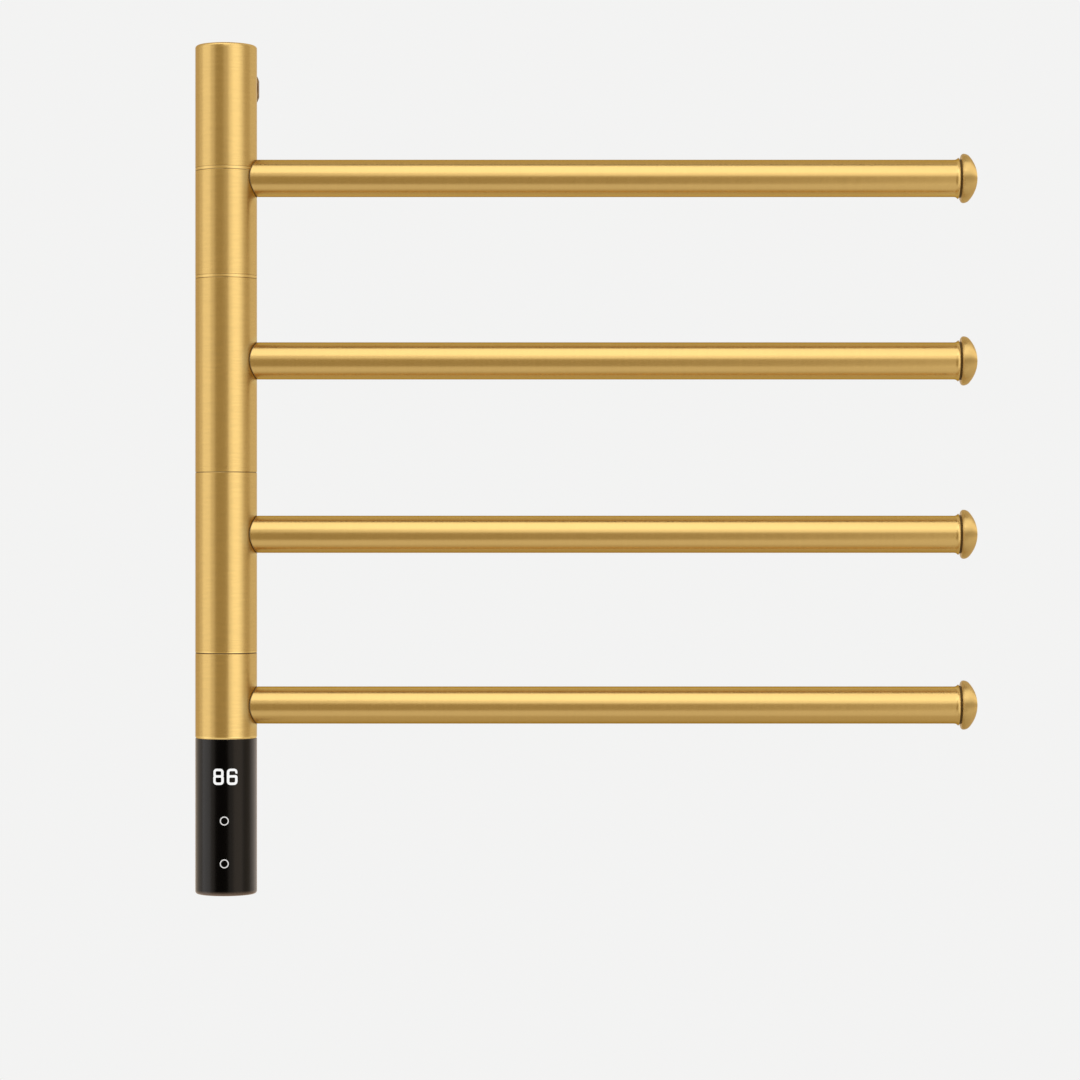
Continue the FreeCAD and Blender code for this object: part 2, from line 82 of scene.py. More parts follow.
def vector_step(tree, operation, value, constant):
    """A vector changed by a constant one."""
    node = tree.nodes.new("ShaderNodeVectorMath")
    node.operation = operation
    node.inputs[1].default_value = constant
    tree.links.new(value, node.inputs[0])
    return node.outputs[0]


def noise(tree, place, stretch, detail, roughness=0.55):
    """Noise whose features are 1 / stretch long along each axis."""
    texture = tree.nodes.new("ShaderNodeTexNoise")
    set_inputs(texture, {"Scale": 1.0, "Detail": detail, "Roughness": roughness})
    tree.links.new(vector_step(tree, "MULTIPLY", place, stretch), texture.inputs["Vector"])
    return texture.outputs["Fac"]


def remap(tree, value, source, target):
    """A value's range mapped to another one, clamped, with soft ends."""
    node = tree.nodes.new("ShaderNodeMapRange")
    node.interpolation_type = "SMOOTHSTEP"
    set_inputs(node, {
        "From Min": source[0], "From Max": source[1],
        "To Min": target[0], "To Max": target[1],
    })
    tree.links.new(value, node.inputs["Value"])
    return node.outputs["Result"]


def mixed(tree, factor, first, second):
    """A blend of two colours, each a constant or a socket."""
    node = tree.nodes.new("ShaderNodeMix")
    node.data_type = "RGBA"
    tree.links.new(factor, node.inputs[0])
    for socket, colour in ((node.inputs[6], first), (node.inputs[7], second)):
        if isinstance(colour, tuple):
            socket.default_value = (*colour, 1.0)
        else:
            tree.links.new(colour, socket)
    return node.outputs[2]


def combined(tree, first, second, operation):
    """Two values joined by an operation."""
    node = tree.nodes.new("ShaderNodeMath")
    node.operation = operation
    tree.links.new(first, node.inputs[0])
    tree.links.new(second, node.inputs[1])
    return node.outputs[0]


def height_of(tree, place):
    """The Z coordinate of a place."""
    axes = tree.nodes.new("ShaderNodeSeparateXYZ")
    tree.links.new(place, axes.inputs[0])
    return axes.outputs["Z"]


def distance_from(tree, place, point, along):
    """Distance from an axis through a point; along has zeros where the axis runs."""
    moved = vector_step(tree, "SUBTRACT", place, point)
    flat = vector_step(tree, "MULTIPLY", moved, along)
    length = tree.nodes.new("ShaderNodeVectorMath")
    length.operation = "LENGTH"
    tree.links.new(flat, length.inputs[0])
    return length.outputs["Value"]


def bump(tree, shader, height, depth):
    """Fine relief from a height value; depth is in micrometres."""
    node = tree.nodes.new("ShaderNodeBump")
    set_inputs(node, {"Strength": 1.0, "Distance": depth * micrometre})
    tree.links.new(height, node.inputs["Height"])
    tree.links.new(node.outputs["Normal"], shader.inputs["Normal"])


def emission(tree, colour):
    """A glow of one colour."""
    glow = tree.nodes.new("ShaderNodeEmission")
    glow.inputs["Color"].default_value = (*colour, 1.0)
    return glow


# Gold finishes

gold = (0.63, 0.405, 0.134)
# Painted highlight on the lower lips of the sleeves
painted_highlight_gold = (1.0, 0.70, 0.25)
gold_ring = (0.74, 0.485, 0.165)
# Painted paler tone round the arms' roots, offsetting the arm's reflection in the column
painted_pale_gold = (0.64, 0.46, 0.185)
# Painted shade at the arms' roots, on the sleeves and the tubes
painted_shade_brown = (0.28, 0.165, 0.052)
# Painted shade in the spacer rings' grooves, at the sleeves' seams and on the standoffs towards the wall
shade_bronze = (0.16, 0.075, 0.020)
column_edge = (0.88, 0.77, 0.60)
arm_edge = (0.52, 0.40, 0.24)
broad_share = 0.12
scatter_range = (0.7, 1.3)
quarter_turn = 0.25


def brushed_gold(name, streak, contrast, rough, relief, edge, shades=(), lips=(), base=gold, turned=0.0):
    """Gold-coated steel, brushed across the streak's long directions; contrast is the streaks' tone,
    rough the range of roughness, relief in micrometres and edge the tint at grazing angles. shades are
    bands of painted shade, and round the arm roots a painted paler tone, by distance from an axis:
    (point, along, near, far, colour), coloured at near and clear at far. lips are ends with painted
    highlight and painted shade: (height of the edge, height where it fades out, strength, colour).
    turned is how far reflections stretch along the arm on a piece that was brushed on a lathe."""
    made, tree, shader, place = new_material(name)
    fine = noise(tree, place, streak, detail=3.0)
    broad = noise(tree, place, tuple(s * broad_share for s in streak), detail=2.0)
    darker = tuple(c * (1.0 - contrast) for c in base)
    lighter = tuple(c * (1.0 + contrast) for c in base)
    colour = mixed(tree, remap(tree, fine, noise_range, unit), darker, lighter)
    # Lips: painted highlight and painted shade near a piece's ends, by height
    for level, fade, strength, tint in lips:
        painted_edge = remap(tree, height_of(tree, place), (level, fade), (strength, 0.0))
        colour = mixed(tree, painted_edge, colour, tint)
    # Shades: painted shade, and a painted paler tone, by distance from an axis
    for point, along, near, far, tint in shades:
        clear = remap(tree, distance_from(tree, place, point, along), (near, far), unit)
        colour = mixed(tree, clear, tint, colour)
    tree.links.new(colour, shader.inputs["Base Color"])
    set_inputs(shader, {"Metallic": 1.0, "Specular Tint": (*edge, 1.0)})
    scatter = combined(tree, fine, broad, "ADD")
    tree.links.new(remap(tree, scatter, scatter_range, rough), shader.inputs["Roughness"])
    bump(tree, shader, fine, relief)
    if turned:
        around = tree.nodes.new("ShaderNodeTangent")
        around.direction_type = "RADIAL"
        around.axis = "X"
        tree.links.new(around.outputs[0], shader.inputs["Tangent"])
        set_inputs(shader, {"Anisotropic": turned, "Anisotropic Rotation": quarter_turn})
    return made


across_column = (110.0, 110.0, 2200.0)
across_arm = (1800.0, 60.0, 60.0)
across_standoff = (60.0, 1200.0, 60.0)
about_column = ((0.0, column_axis_y, 0.0), (1.0, 1.0, 0.0))
from_wall = ((0.0, 0.0, 0.0), (0.0, 1.0, 0.0))
standoff_fade = 0.04
# Painted shade in the spacer rings' grooves
ring_groove_shade = (column_radius - 0.0004, column_radius - 0.00012)
# Painted shade on the tubes where they meet the column
root_shade_line = (column_radius + 0.0003, column_radius + 0.0008)

column_brush = {
    "streak": across_column, "contrast": 0.04, "rough": (0.23, 0.26), "relief": 2.0, "edge": column_edge,
}
arm_brush = {"streak": across_arm, "contrast": 0.015, "relief": 1.0}
column_gold = brushed_gold("column_gold", **column_brush)
collar_gold = brushed_gold("collar_gold", **arm_brush, rough=(0.25, 0.27), edge=arm_edge)
cap_gold = brushed_gold("cap_gold", **arm_brush, rough=(0.42, 0.44), edge=column_edge, turned=1.0)
tube_gold = brushed_gold(
    "tube_gold", **arm_brush, rough=(0.23, 0.25), edge=arm_edge,
    shades=((*about_column, *root_shade_line, painted_shade_brown),),
)
ring_gold = brushed_gold(
    "ring_gold", across_column, contrast=0.03, rough=(0.28, 0.31), relief=1.0, edge=column_edge,
    shades=((*about_column, *ring_groove_shade, shade_bronze),), base=gold_ring,
)
# The standoffs get painted shade, darkest at the wall
standoff_gold = brushed_gold(
    "standoff_gold", across_standoff, contrast=0.03, rough=(0.22, 0.28), relief=2.0, edge=arm_edge,
    shades=((*from_wall, 0.0, standoff_fade, shade_bronze),),
)

# Lips of the sleeves, painted highlight in light gold and painted shade at their ends,
# each (height from the end, height where it fades out, strength, colour)
lower_lips = {
    1: (),
    2: (),
    3: ((0.0005, 0.0013, 0.6, painted_highlight_gold), (0.0002, 0.0005, 0.9, shade_bronze)),
    4: ((0.0010, 0.0020, 0.5, painted_highlight_gold),),
}
upper_lips = {
    1: ((0.0, 0.0004, 0.9, shade_bronze),),
    2: ((0.0, 0.0004, 0.9, shade_bronze),),
    3: ((0.0, 0.0004, 0.6, shade_bronze),),
    4: ((0.0, 0.0005, 0.6, shade_bronze),),
}

# Painted tones round an arm's root: the place and squeeze of the oval, then the reach of its two rings,
# a paler ring painted to offset the arm's reflection in the column and a ring of painted shade at the root
root_x = 0.02
root_squeeze = (0.6, 1.0, 1.0)
root_painted_pale = (arm_radius + 0.001, arm_radius + 0.007)
root_painted_shade = (arm_radius, arm_radius + 0.0012)


def sleeve_finish(number):
    """The sleeve's gold, with painted highlight and painted shade at its two lips, and painted shade and a painted
    paler ring round its arm.
    """
    low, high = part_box(f"arm_{number}_sleeve")
    about_arm = ((root_x, column_axis_y, arm_heights[number]), root_squeeze)
    lips = [(low.z + full, low.z + fade, *tone) for full, fade, *tone in lower_lips[number]]
    lips += [(high.z - full, high.z - fade, *tone) for full, fade, *tone in upper_lips[number]]
    return brushed_gold(
        f"sleeve_gold_{number}", **column_brush, lips=lips,
        shades=((*about_arm, *root_painted_pale, painted_pale_gold), (*about_arm, *root_painted_shade, painted_shade_brown)),
    )


sleeve_gold = {number: sleeve_finish(number) for number in arm_heights}


# Black, lit and hidden finishes

black_grain = (900.0, 900.0, 900.0)
black_cloud = (40.0, 40.0, 25.0)
black_dark = (0.0006, 0.0005, 0.0004)
black_light = (0.0011, 0.0009, 0.0008)
black_rough = (0.20, 0.25)
black_relief = 2.0
# Painted reflection of the floor: a warm brown band along the housing's lower edge
painted_reflection_brown = (0.24, 0.16, 0.11)
painted_reflection_height = 0.0034


def smoked_black():
    """Satin black housing with a fine moulded grain, a warm sheen and a warm brown band along its lower edge, a
    painted reflection of the floor.
    """
    made, tree, shader, place = new_material("smoked_black")
    grain = noise(tree, place, black_grain, detail=5.0, roughness=0.6)
    cloud = noise(tree, place, black_cloud, detail=2.0)
    colour = mixed(tree, remap(tree, cloud, noise_range, unit), black_dark, black_light)
    # Painted reflection at the lower edge
    painted_edge = remap(tree, height_of(tree, place), (underside, underside + painted_reflection_height), (1.0, 0.0))
    tree.links.new(mixed(tree, painted_edge, colour, painted_reflection_brown), shader.inputs["Base Color"])
    tree.links.new(remap(tree, grain, noise_range, black_rough), shader.inputs["Roughness"])
    set_inputs(shader, {
        "Sheen Weight": 0.9,
        "Sheen Roughness": 0.33,
        "Sheen Tint": (1.0, 0.70, 0.48, 1.0),
        "Specular IOR Level": 0.21,
        "Specular Tint": (1.0, 0.88, 0.76, 1.0),
    })
    bump(tree, shader, grain, black_relief)
    return made


glow_cloud = (700.0, 700.0, 700.0)
glow_range = (0.25, 0.75)
glow_dip = 0.94
diffuser = {"Base Color": (0.03, 0.03, 0.03, 1.0), "Roughness": 0.4}


def lit_mark(name, colour, strength):
    """Light through a diffuser, a little uneven from place to place."""
    made, tree, shader, place = new_material(name)
    tone = remap(tree, noise(tree, place, glow_cloud, detail=2.0), glow_range, unit)
    glow = mixed(tree, tone, tuple(c * glow_dip for c in colour), colour)
    tree.links.new(glow, shader.inputs["Emission Color"])
    set_inputs(shader, {**diffuser, "Emission Strength": strength})
    return made


def plain_finish(name, dark, light, metallic, rough, stretch, relief, shine=white):
    """A moulded, drawn or machined finish with grain of the given stretch and relief in micrometres;
    shine tints its reflections."""
    made, tree, shader, place = new_material(name)
    grain = noise(tree, place, stretch, detail=4.0, roughness=0.6)
    colour = mixed(tree, remap(tree, grain, noise_range, unit), dark, light)
    tree.links.new(colour, shader.inputs["Base Color"])
    set_inputs(shader, {"Metallic": metallic, "Specular Tint": (*shine, 1.0)})
    tree.links.new(remap(tree, grain, noise_range, rough), shader.inputs["Roughness"])
    bump(tree, shader, grain, relief)
    return made


metal = 1.0
polymer = 0.0
digit_light = lit_mark("digit_light", (0.97, 0.97, 0.96), strength=0.95)
ring_light = lit_mark("ring_light", (0.80, 0.785, 0.765), strength=0.88)
# Brown of the rings in the arms' root gaps, painted shade for the dark line there
root_shade_brown = plain_finish(
    "root_shade_brown", dark=(0.34, 0.215, 0.078), light=(0.42, 0.265, 0.10), metallic=polymer,
    rough=(0.55, 0.68), stretch=(900.0, 900.0, 900.0), relief=6.0,
)

# Finishes by material slot: dark tone, light tone, metallic, roughness, grain stretch, relief, shine
plain_finishes = {
    "core_steel": (
        (0.46, 0.46, 0.47), (0.58, 0.58, 0.59), metal, (0.28, 0.40), (500.0, 500.0, 18.0), 6.0),
    "machined_aluminium": (
        (0.66, 0.67, 0.69), (0.78, 0.79, 0.81), metal, (0.24, 0.36), (60.0, 60.0, 1600.0), 6.0),
    "bearing_brass": (
        (0.66, 0.49, 0.21), (0.76, 0.58, 0.28), metal, (0.22, 0.34), (60.0, 60.0, 1400.0), 5.0),
    "bush_polymer": (
        (0.72, 0.70, 0.64), (0.80, 0.79, 0.74), polymer, (0.48, 0.58), (600.0, 600.0, 600.0), 8.0),
    "slip_polymer": (
        (0.028, 0.020, 0.012), (0.045, 0.034, 0.022), polymer, (0.50, 0.60), (700.0, 700.0, 700.0), 6.0),
    "soft_rubber": (
        (0.095, 0.055, 0.013), (0.130, 0.078, 0.021), polymer, (0.55, 0.68), (1100.0, 1100.0, 1100.0),
        10.0, (0.95, 0.62, 0.30)),
    "heater_sheath": (
        (0.34, 0.33, 0.32), (0.45, 0.44, 0.43), metal, (0.36, 0.48), (20.0, 400.0, 400.0), 6.0),
    "circuit_board": (
        (0.012, 0.11, 0.045), (0.03, 0.19, 0.09), polymer, (0.32, 0.45), (420.0, 420.0, 420.0), 8.0),
    "display_body": (
        (0.055, 0.055, 0.060), (0.08, 0.08, 0.088), polymer, (0.30, 0.42), (500.0, 500.0, 500.0), 5.0),
    "grey_plastic": (
        (0.28, 0.29, 0.30), (0.36, 0.37, 0.38), polymer, (0.45, 0.58), (650.0, 650.0, 650.0), 8.0),
    "wire_insulation": (
        (0.06, 0.06, 0.066), (0.11, 0.11, 0.12), polymer, (0.45, 0.55), (500.0, 500.0, 30.0), 12.0),
    "zinc_steel": (
        (0.55, 0.56, 0.57), (0.68, 0.69, 0.70), metal, (0.30, 0.44), (350.0, 350.0, 350.0), 6.0),
}
finishes = {name: plain_finish(name, *values) for name, values in plain_finishes.items()}
finishes["brushed_gold"] = column_gold
finishes["smoked_black"] = smoked_black()


def dress(node, finish):
    """Gives a CAD node one material on all its slots."""
    slots = nodes[node].data.materials
    if not slots:
        slots.append(finish)
    for index in range(len(slots)):
        slots[index] = finish


for part in frame["record"]["subparts"]:
    dress(part["node"], finishes[part["material_slot"]])
dress("spacer_rings", ring_gold)
dress("upper_standoff", standoff_gold)
dress("lower_standoff", standoff_gold)
for number in arm_heights:
    dress(f"arm_{number}_sleeve", sleeve_gold[number])
    dress(f"arm_{number}_tube", tube_gold)
    dress(f"arm_{number}_end_collar", collar_gold)
    dress(f"arm_{number}_end_cap", cap_gold)


# Lit marks on the housing: drawn flat, then wrapped round the column. Outlines are in pixels of the
# photograph, x right and y up, from the middle of each mark.

pixel = 0.000683
mark_thickness = 0.00006
mark_lift = 0.00002
wrap_step = 0.0005
weld_distance = 1e-7
cut_distance = 1e-8
corner_steps = 6
ring_steps = 40


def circle(radius):
    """A round outline."""
    points = []
    for step in range(ring_steps):
        angle = 2 * math.pi * step / ring_steps
        points.append((radius * math.cos(angle), radius * math.sin(angle)))
    return points


def rounded(corners):
    """A closed outline from corners (x, y, radius), each turned into a small arc."""
    points = []
    total = len(corners)
    for index, (x, y, radius) in enumerate(corners):
        here = Vector((x, y))
        before = Vector(corners[index - 1][:2]) - here
        after = Vector(corners[(index + 1) % total][:2]) - here
        before.normalize()
        after.normalize()
        half = before.angle(after) / 2
        cut = radius / math.tan(half)
        first = here + before * cut
        last = here + after * cut
        middle = here + (before + after).normalized() * (radius / math.sin(half))
        start = math.atan2(first.y - middle.y, first.x - middle.x)
        turn = math.atan2(last.y - middle.y, last.x - middle.x) - start
        turn = (turn + math.pi) % (2 * math.pi) - math.pi
        for step in range(corner_steps + 1):
            angle = start + turn * step / corner_steps
            points.append((middle.x + radius * math.cos(angle), middle.y + radius * math.sin(angle)))
    return points


def filled_sheet(name, outlines):
    """A flat mesh between closed outlines."""
    curve = bpy.data.curves.new(name + "_outline", "CURVE")
    curve.dimensions = "2D"
    curve.fill_mode = "BOTH"
    for outline in outlines:
        spline = curve.splines.new("POLY")
        spline.points.add(len(outline) - 1)
        for point, (x, y) in zip(spline.points, outline):
            point.co = (x * pixel, y * pixel, 0.0, 1.0)
        spline.use_cyclic_u = True
    drawn = bpy.data.objects.new(name + "_outline", curve)
    sheet = bpy.data.meshes.new_from_object(drawn)
    bpy.data.objects.remove(drawn)
    bpy.data.curves.remove(curve)
    return sheet


def wrapped_mark(name, outlines, turn, height, material):
    """Fills the outlines, cuts the sheet into narrow strips and wraps it on the housing.
    turn is the angle from straight front towards +X, height the middle of the mark."""
    sheet = filled_sheet(name, outlines)
    work = bmesh.new()
    work.from_mesh(sheet)
    bmesh.ops.remove_doubles(work, verts=work.verts, dist=weld_distance)
    low = min(v.co.x for v in work.verts)
    high = max(v.co.x for v in work.verts)
    cut = low + wrap_step
    while cut < high:
        everything = work.verts[:] + work.edges[:] + work.faces[:]
        bmesh.ops.bisect_plane(
            work, geom=everything, plane_co=(cut, 0, 0), plane_no=(1, 0, 0), dist=cut_distance
        )
        cut += wrap_step
    if sum(f.normal.z for f in work.faces) < 0:
        bmesh.ops.reverse_faces(work, faces=work.faces[:])
    grown = bmesh.ops.extrude_face_region(work, geom=work.faces[:])
    raised = [v for v in grown["geom"] if isinstance(v, bmesh.types.BMVert)]
    for vertex in raised:
        vertex.co.z += mark_thickness
    bmesh.ops.recalc_face_normals(work, faces=work.faces[:])
    base_radius = column_radius + mark_lift - mark_thickness
    for vertex in work.verts:
        radius = base_radius + vertex.co.z
        angle = turn + vertex.co.x / column_radius
        vertex.co = Vector((
            radius * math.sin(angle),
            column_axis_y - radius * math.cos(angle),
            height + vertex.co.y,
        ))
    work.to_mesh(sheet)
    work.free()
    sheet.materials.clear()
    sheet.materials.append(material)
    piece = bpy.data.objects.new(name, sheet)
    scene.collection.objects.link(piece)
    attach(piece, "column")


eight = [
    rounded([(-5.2, 8.3, 3.3), (5.2, 8.3, 3.3), (5.2, 1.5, 1.5), (4.8, 0.7, 0.3), (5.4, -0.1, 1.6),
             (5.4, -7.8, 3.5), (-5.4, -7.8, 3.5), (-5.4, -0.1, 1.6), (-4.8, 0.7, 0.3), (-5.2, 1.5, 1.5)]),
    rounded([(-2.8, 5.9, 1.2), (2.8, 5.9, 1.2), (2.8, 1.9, 0.9), (-2.8, 1.9, 0.9)]),
    rounded([(-2.9, -0.5, 1.0), (2.9, -0.5, 1.0), (2.9, -5.4, 1.4), (-2.9, -5.4, 1.4)]),
]
six = [
    rounded([(5.2, 2.9, 0.6), (5.4, 8.3, 3.5), (-5.4, 8.3, 3.6), (-5.4, -7.9, 3.6), (5.4, -7.9, 3.5),
             (5.4, 1.9, 2.2), (-2.9, 1.9, 0.4), (-2.9, 5.9, 1.3), (2.8, 5.9, 1.1), (3.2, 3.7, 0.5)]),
    rounded([(-2.9, -0.5, 1.0), (2.9, -0.5, 1.0), (2.9, -5.4, 1.2), (-2.9, -5.4, 1.2)]),
]
ring_outer = 4.45
ring_inner = 3.4
touch_ring = [circle(ring_outer), circle(ring_inner)]

# Where the marks sit: turns from straight front, half the pitch of the digits, heights over the foot
digit_turn = math.radians(3.6)
ring_turn = math.radians(1.7)
half_pitch = 6.9 * pixel / column_radius
digit_height = underside + 0.0808
upper_ring_height = underside + 0.0511
lower_ring_height = underside + 0.0221

wrapped_mark("display_digit_tens", eight, digit_turn - half_pitch, digit_height, digit_light)
wrapped_mark("display_digit_units", six, digit_turn + half_pitch, digit_height, digit_light)
wrapped_mark("touch_ring_upper", touch_ring, ring_turn, upper_ring_height, ring_light)
wrapped_mark("touch_ring_lower", touch_ring, ring_turn, lower_ring_height, ring_light)


# Root shade rings: thin brown rings in the gap between each arm's tube and the column, painted shade for the dark
# line there

shade_ring_inset = 0.00015
shade_ring_wall = 0.0012
shade_ring_clearance = 0.00002
shade_ring_steps = 96
root_gap = Vector((tube_low.x, arm_radius)).length - column_radius


def root_shade_ring(number):
    """A saddle ring that fills the gap at an arm's root, brown as painted shade for the dark line there."""
    outer = arm_radius - shade_ring_inset
    inner = outer - shade_ring_wall
    column_side = column_radius + shade_ring_clearance
    tube_side = column_radius + root_gap - shade_ring_clearance
    corners = ((outer, column_side), (outer, tube_side), (inner, tube_side), (inner, column_side))
    mesh = bpy.data.meshes.new(f"arm_{number}_root_shade_ring")
    work = bmesh.new()
    rings = []
    for radius, reach in corners:
        ring = []
        for step in range(shade_ring_steps):
            angle = 2 * math.pi * step / shade_ring_steps
            side = radius * math.cos(angle)
            rise = radius * math.sin(angle)
            along = math.sqrt(reach ** 2 - side ** 2)
            ring.append(work.verts.new((along, column_axis_y + side, arm_heights[number] + rise)))
        rings.append(ring)
    for ring, after in zip(rings, rings[1:] + rings[:1]):
        for step in range(shade_ring_steps):
            onward = (step + 1) % shade_ring_steps
            work.faces.new((ring[step], after[step], after[onward], ring[onward]))
    bmesh.ops.recalc_face_normals(work, faces=work.faces[:])
    for face in work.faces:
        face.smooth = True
    work.to_mesh(mesh)
    work.free()
    # Brown as painted shade for the dark line in the gap
    mesh.materials.append(root_shade_brown)
    shade_ring = bpy.data.objects.new(f"arm_{number}_root_shade_ring", mesh)
    scene.collection.objects.link(shade_ring)
    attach(shade_ring, f"arm_{number}")


for number in arm_heights:
    root_shade_ring(number)


# Camera, at the photograph's angle: level, looking along +Y

camera_place = (0.2143, -2.406, -0.3142)
camera_data = bpy.data.cameras.new("camera")
camera_data.lens = 115.0
camera_data.sensor_width = 36.0
camera = bpy.data.objects.new("camera", camera_data)
camera.location = camera_place
camera.rotation_euler = (math.radians(90.0), 0.0, 0.0)
scene.collection.objects.link(camera)
scene.camera = camera


# Studio: a pale world and floor, soft lamps, and cards that only reflections see

studio_centre = Vector((0.15, column_axis_y, -0.27))
cool = (0.78, 0.87, 1.0)
warm = (1.0, 0.88, 0.76)
warm_dark = (0.484, 0.429, 0.304)
warm_grey = (0.68, 0.635, 0.54)
warm_pale = (0.74, 0.693, 0.60)
near_black = (0.035, 0.030, 0.022)
top_pale = (1.62, 1.70, 1.84)


def towards(turn, rise):
    """Direction from the object; turn is from the camera's side towards +X, rise above the horizon."""
    a = math.radians(turn)
    e = math.radians(rise)
    return Vector((math.sin(a) * math.cos(e), -math.cos(a) * math.cos(e), math.sin(e)))


def over_arms(across, rise):
    """Direction from the object; rise is turned about the arms' length, across tips it towards +X."""
    a = math.radians(across)
    e = math.radians(rise)
    return Vector((math.sin(a), -math.cos(a) * math.cos(e), math.cos(a) * math.sin(e)))


def receivers(name, members, state):
    """A light linking collection that includes or excludes the given nodes."""
    made = bpy.data.collections.new(name)
    for node in members:
        made.objects.link(nodes[node])
    for entry in made.collection_objects:
        entry.light_linking.link_state = state
    return made


def soft_lamp(name, middle, spread, distance, radiance, lit, tint):
    """A large area lamp aimed at the object; middle is its turn and rise, spread its width and height
    as angles, and lit the nodes that get its light, None for all."""
    wide, tall = (2 * distance * math.tan(math.radians(angle) / 2) for angle in spread)
    data = bpy.data.lights.new(name, "AREA")
    data.color = tint
    data.shape = "RECTANGLE"
    data.size = wide
    data.size_y = tall
    data.energy = radiance / tint[1] * math.pi * wide * tall
    lamp = bpy.data.objects.new(name, data)
    lamp.location = studio_centre + towards(*middle) * distance
    lamp.rotation_mode = "QUATERNION"
    lamp.rotation_quaternion = (-towards(*middle)).to_track_quat("-Z", "Y")
    lamp.visible_camera = False
    lamp.light_linking.receiver_collection = lit
    scene.collection.objects.link(lamp)


card_steps = 12


def card_mesh(name, aim, turns, rises, distance):
    """A patch of a sphere round the object, laid out by aim."""
    vertices = []
    faces = []
    for row in range(card_steps + 1):
        rise = rises[0] + (rises[1] - rises[0]) * row / card_steps
        for column in range(card_steps + 1):
            turn = turns[0] + (turns[1] - turns[0]) * column / card_steps
            vertices.append(studio_centre + aim(turn, rise) * distance)
    for row in range(card_steps):
        for column in range(card_steps):
            corner = row * (card_steps + 1) + column
            faces.append((corner, corner + 1, corner + card_steps + 2, corner + card_steps + 1))
    mesh = bpy.data.meshes.new(name)
    mesh.from_pydata(vertices, [], faces)
    return mesh


def reflected_card(name, aim, turns, rises, distance, colour, lit):
    """A card that shows in reflections alone. lit are the nodes that see its tone, None for all; to the
    others it is black."""
    mesh = card_mesh(name, aim, turns, rises, distance)
    made = bpy.data.materials.new(name)
    made.use_nodes = True
    tree = made.node_tree
    tree.nodes.remove(tree.nodes["Principled BSDF"])
    tree.links.new(emission(tree, colour).outputs[0], tree.nodes["Material Output"].inputs["Surface"])
    mesh.materials.append(made)
    card = bpy.data.objects.new(name, mesh)
    card.visible_camera = False
    card.visible_diffuse = False
    card.visible_shadow = False
    card.visible_volume_scatter = False
    card.light_linking.receiver_collection = lit
    scene.collection.objects.link(card)


black_nodes = ["control_housing", "bottom_cap"]
column_nodes = ["top_section", "spacer_rings"] + [f"arm_{number}_sleeve" for number in arm_heights]
cap_nodes = [f"arm_{number}_end_cap" for number in arm_heights]
collar_nodes = [f"arm_{number}_end_collar" for number in arm_heights]
black_only = receivers("black_only", black_nodes, "INCLUDE")
ends_only = receivers("ends_only", cap_nodes + collar_nodes, "INCLUDE")
not_black = receivers("all_but_black", black_nodes, "EXCLUDE")
not_column = receivers("all_but_column", column_nodes, "EXCLUDE")
plain_gold = receivers("all_but_black_and_caps", black_nodes + cap_nodes, "EXCLUDE")

# Lamps: name, (turn, rise) of the middle, (width, height) as angles, distance, radiance, nodes, tint
lamps = (
    ("lamp_right", (40.4, -6.0), (54.7, 92.0), 9.0, 0.445, plain_gold, cool),
    ("lamp_right_core", (41.4, -6.0), (30.4, 92.0), 9.0, 0.378, plain_gold, cool),
    ("lamp_left", (-74.5, -6.0), (38.3, 92.0), 9.0, 0.473, None, cool),
    ("lamp_black_right", (50.0, -6.0), (36.0, 92.0), 9.0, 0.84, black_only, warm),
    ("lamp_black_left", (-75.0, -6.0), (38.0, 92.0), 9.0, 1.05, black_only, cool),
    ("lamp_black_edge", (128.0, -6.0), (40.0, 92.0), 9.0, 0.55, black_only, warm),
    ("lamp_ends_right", (75.0, 33.0), (90.0, 40.0), 5.0, 0.9, ends_only, cool),
    ("lamp_ends_low", (60.0, -27.0), (90.0, 32.0), 5.0, 0.4, ends_only, cool),
    ("lamp_ends_left", (-45.0, 28.0), (70.0, 34.0), 5.0, 0.8, ends_only, cool),
    ("lamp_top", (2.9, 45.3), (24.0, 65.2), 9.0, 0.672, not_column, cool),
    ("lamp_top_core", (3.3, 53.0), (24.0, 50.0), 9.0, 0.467, not_column, cool),
)
for lamp in lamps:
    soft_lamp(*lamp)

# Cards: name, layout, reach of the turns, reach of the rises, distance, colour, nodes
cards = (
    ("flag_front", towards, (-39.0, 11.8), (-43.0, 9.0), 6.0, warm_dark, not_black),
    ("flag_high", towards, (-39.0, -6.0), (9.0, 30.0), 6.0, warm_dark, not_black),
    ("flag_right", towards, (76.1, 105.0), (-40.0, 40.0), 6.0, warm_grey, None),
    ("flag_behind", towards, (-165.0, -113.2), (-40.0, 40.0), 6.0, warm_pale, None),
    ("flag_over", over_arms, (-16.0, 16.0), (80.8, 88.3), 6.0, near_black, None),
    ("flag_past", over_arms, (-16.0, 16.0), (88.3, 121.0), 6.0, warm_grey, None),
    ("card_top_left", towards, (-75.0, -9.6), (31.0, 77.0), 6.0, top_pale, None),
    ("card_top_right", towards, (15.4, 75.0), (41.0, 77.0), 6.0, top_pale, None),
    ("flag_under", over_arms, (-30.0, 38.0), (-71.8, -134.9), 0.7, warm_grey, None),
)
for card in cards:
    reflected_card(*card)

pale = 0.896
pale_tint = (1.0, 1.0, 0.995)
fill = 0.45


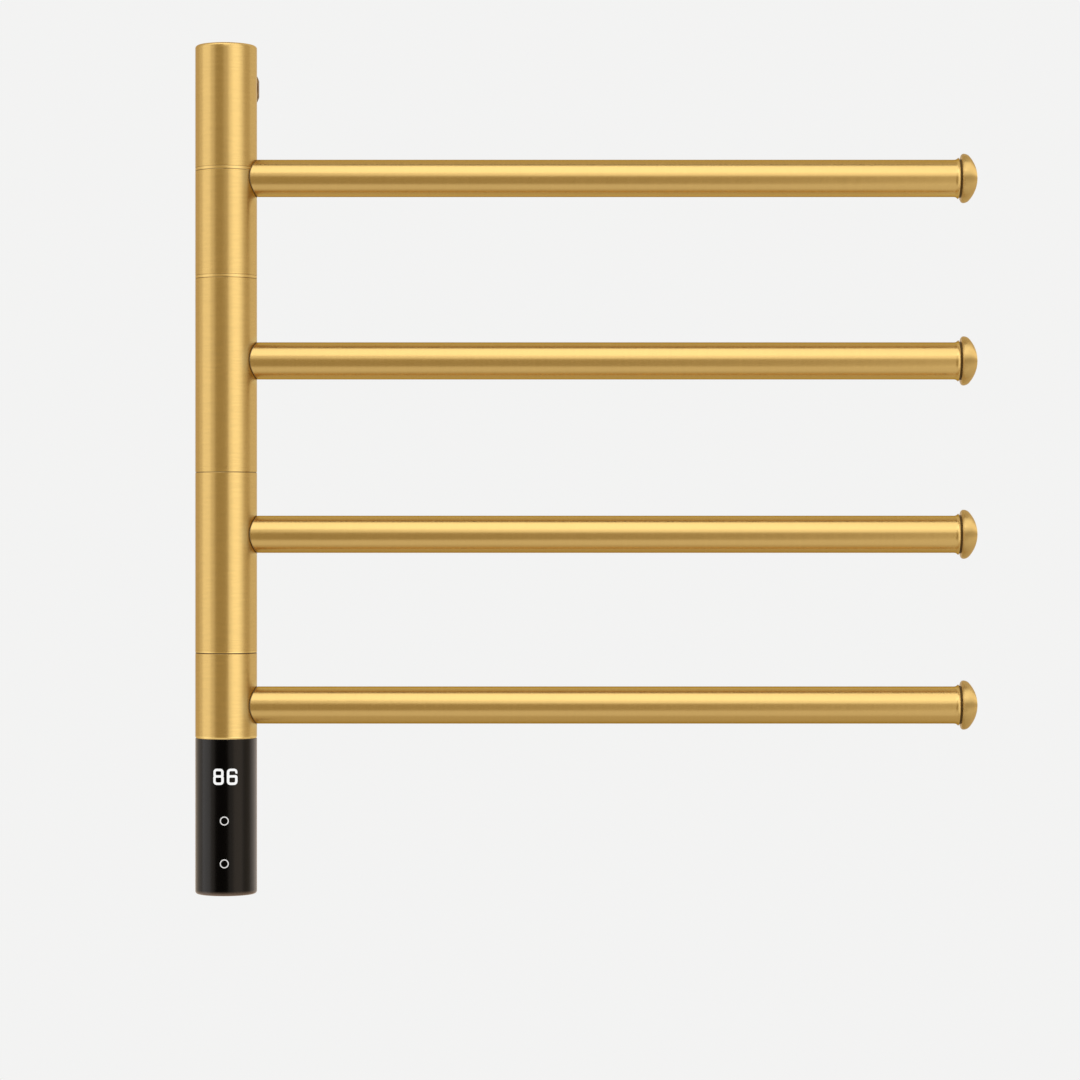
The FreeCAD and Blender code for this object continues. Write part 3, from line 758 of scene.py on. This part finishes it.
def pale_world():
    """Pale for what the camera and reflections see, softer for the light that falls on surfaces."""
    world = bpy.data.worlds.new("studio")
    world.use_nodes = True
    tree = world.node_tree
    ground = tree.nodes["Background"]
    ground.inputs["Color"].default_value = (*pale_tint, 1.0)
    path = tree.nodes.new("ShaderNodeLightPath")
    seen = combined(tree, path.outputs["Is Camera Ray"], path.outputs["Is Glossy Ray"], "MAXIMUM")
    seen = combined(tree, seen, path.outputs["Is Transmission Ray"], "MAXIMUM")
    tree.links.new(remap(tree, seen, unit, (fill, pale)), ground.inputs["Strength"])
    scene.world = world


floor_place = (0.2, 0.0, -1.3)
floor_radius = 1.5
floor_segments = 96
floor_matt = {"Base Color": (0.82, 0.82, 0.815, 1.0), "Roughness": 0.8}
floor_share = 0.75
floor_glow = 1.144


def pale_floor():
    """A round pale floor below the rail; a share of its tone is its own, strong enough to make up for
    the dimmer lit part, so that its rim doesn't show."""
    mesh = bpy.data.meshes.new("floor")
    work = bmesh.new()
    bmesh.ops.create_circle(work, cap_ends=True, segments=floor_segments, radius=floor_radius)
    work.to_mesh(mesh)
    work.free()
    floor = bpy.data.objects.new("floor", mesh)
    floor.location = floor_place
    scene.collection.objects.link(floor)
    made = bpy.data.materials.new("floor_pale")
    made.use_nodes = True
    tree = made.node_tree
    shader = tree.nodes["Principled BSDF"]
    set_inputs(shader, floor_matt)
    glow = emission(tree, tuple(pale * c for c in pale_tint))
    path = tree.nodes.new("ShaderNodeLightPath")
    glossy = path.outputs["Is Glossy Ray"]
    tree.links.new(remap(tree, glossy, unit, (floor_glow, 1.0)), glow.inputs["Strength"])
    seen = combined(tree, path.outputs["Is Camera Ray"], path.outputs["Is Transmission Ray"], "MAXIMUM")
    seen = combined(tree, remap(tree, seen, unit, (0.0, floor_share)), glossy, "MAXIMUM")
    blend = tree.nodes.new("ShaderNodeMixShader")
    tree.links.new(seen, blend.inputs["Fac"])
    tree.links.new(shader.outputs[0], blend.inputs[1])
    tree.links.new(glow.outputs[0], blend.inputs[2])
    tree.links.new(blend.outputs[0], tree.nodes["Material Output"].inputs["Surface"])
    mesh.materials.append(made)


pale_world()
pale_floor()
scene.view_settings.view_transform = "Standard"
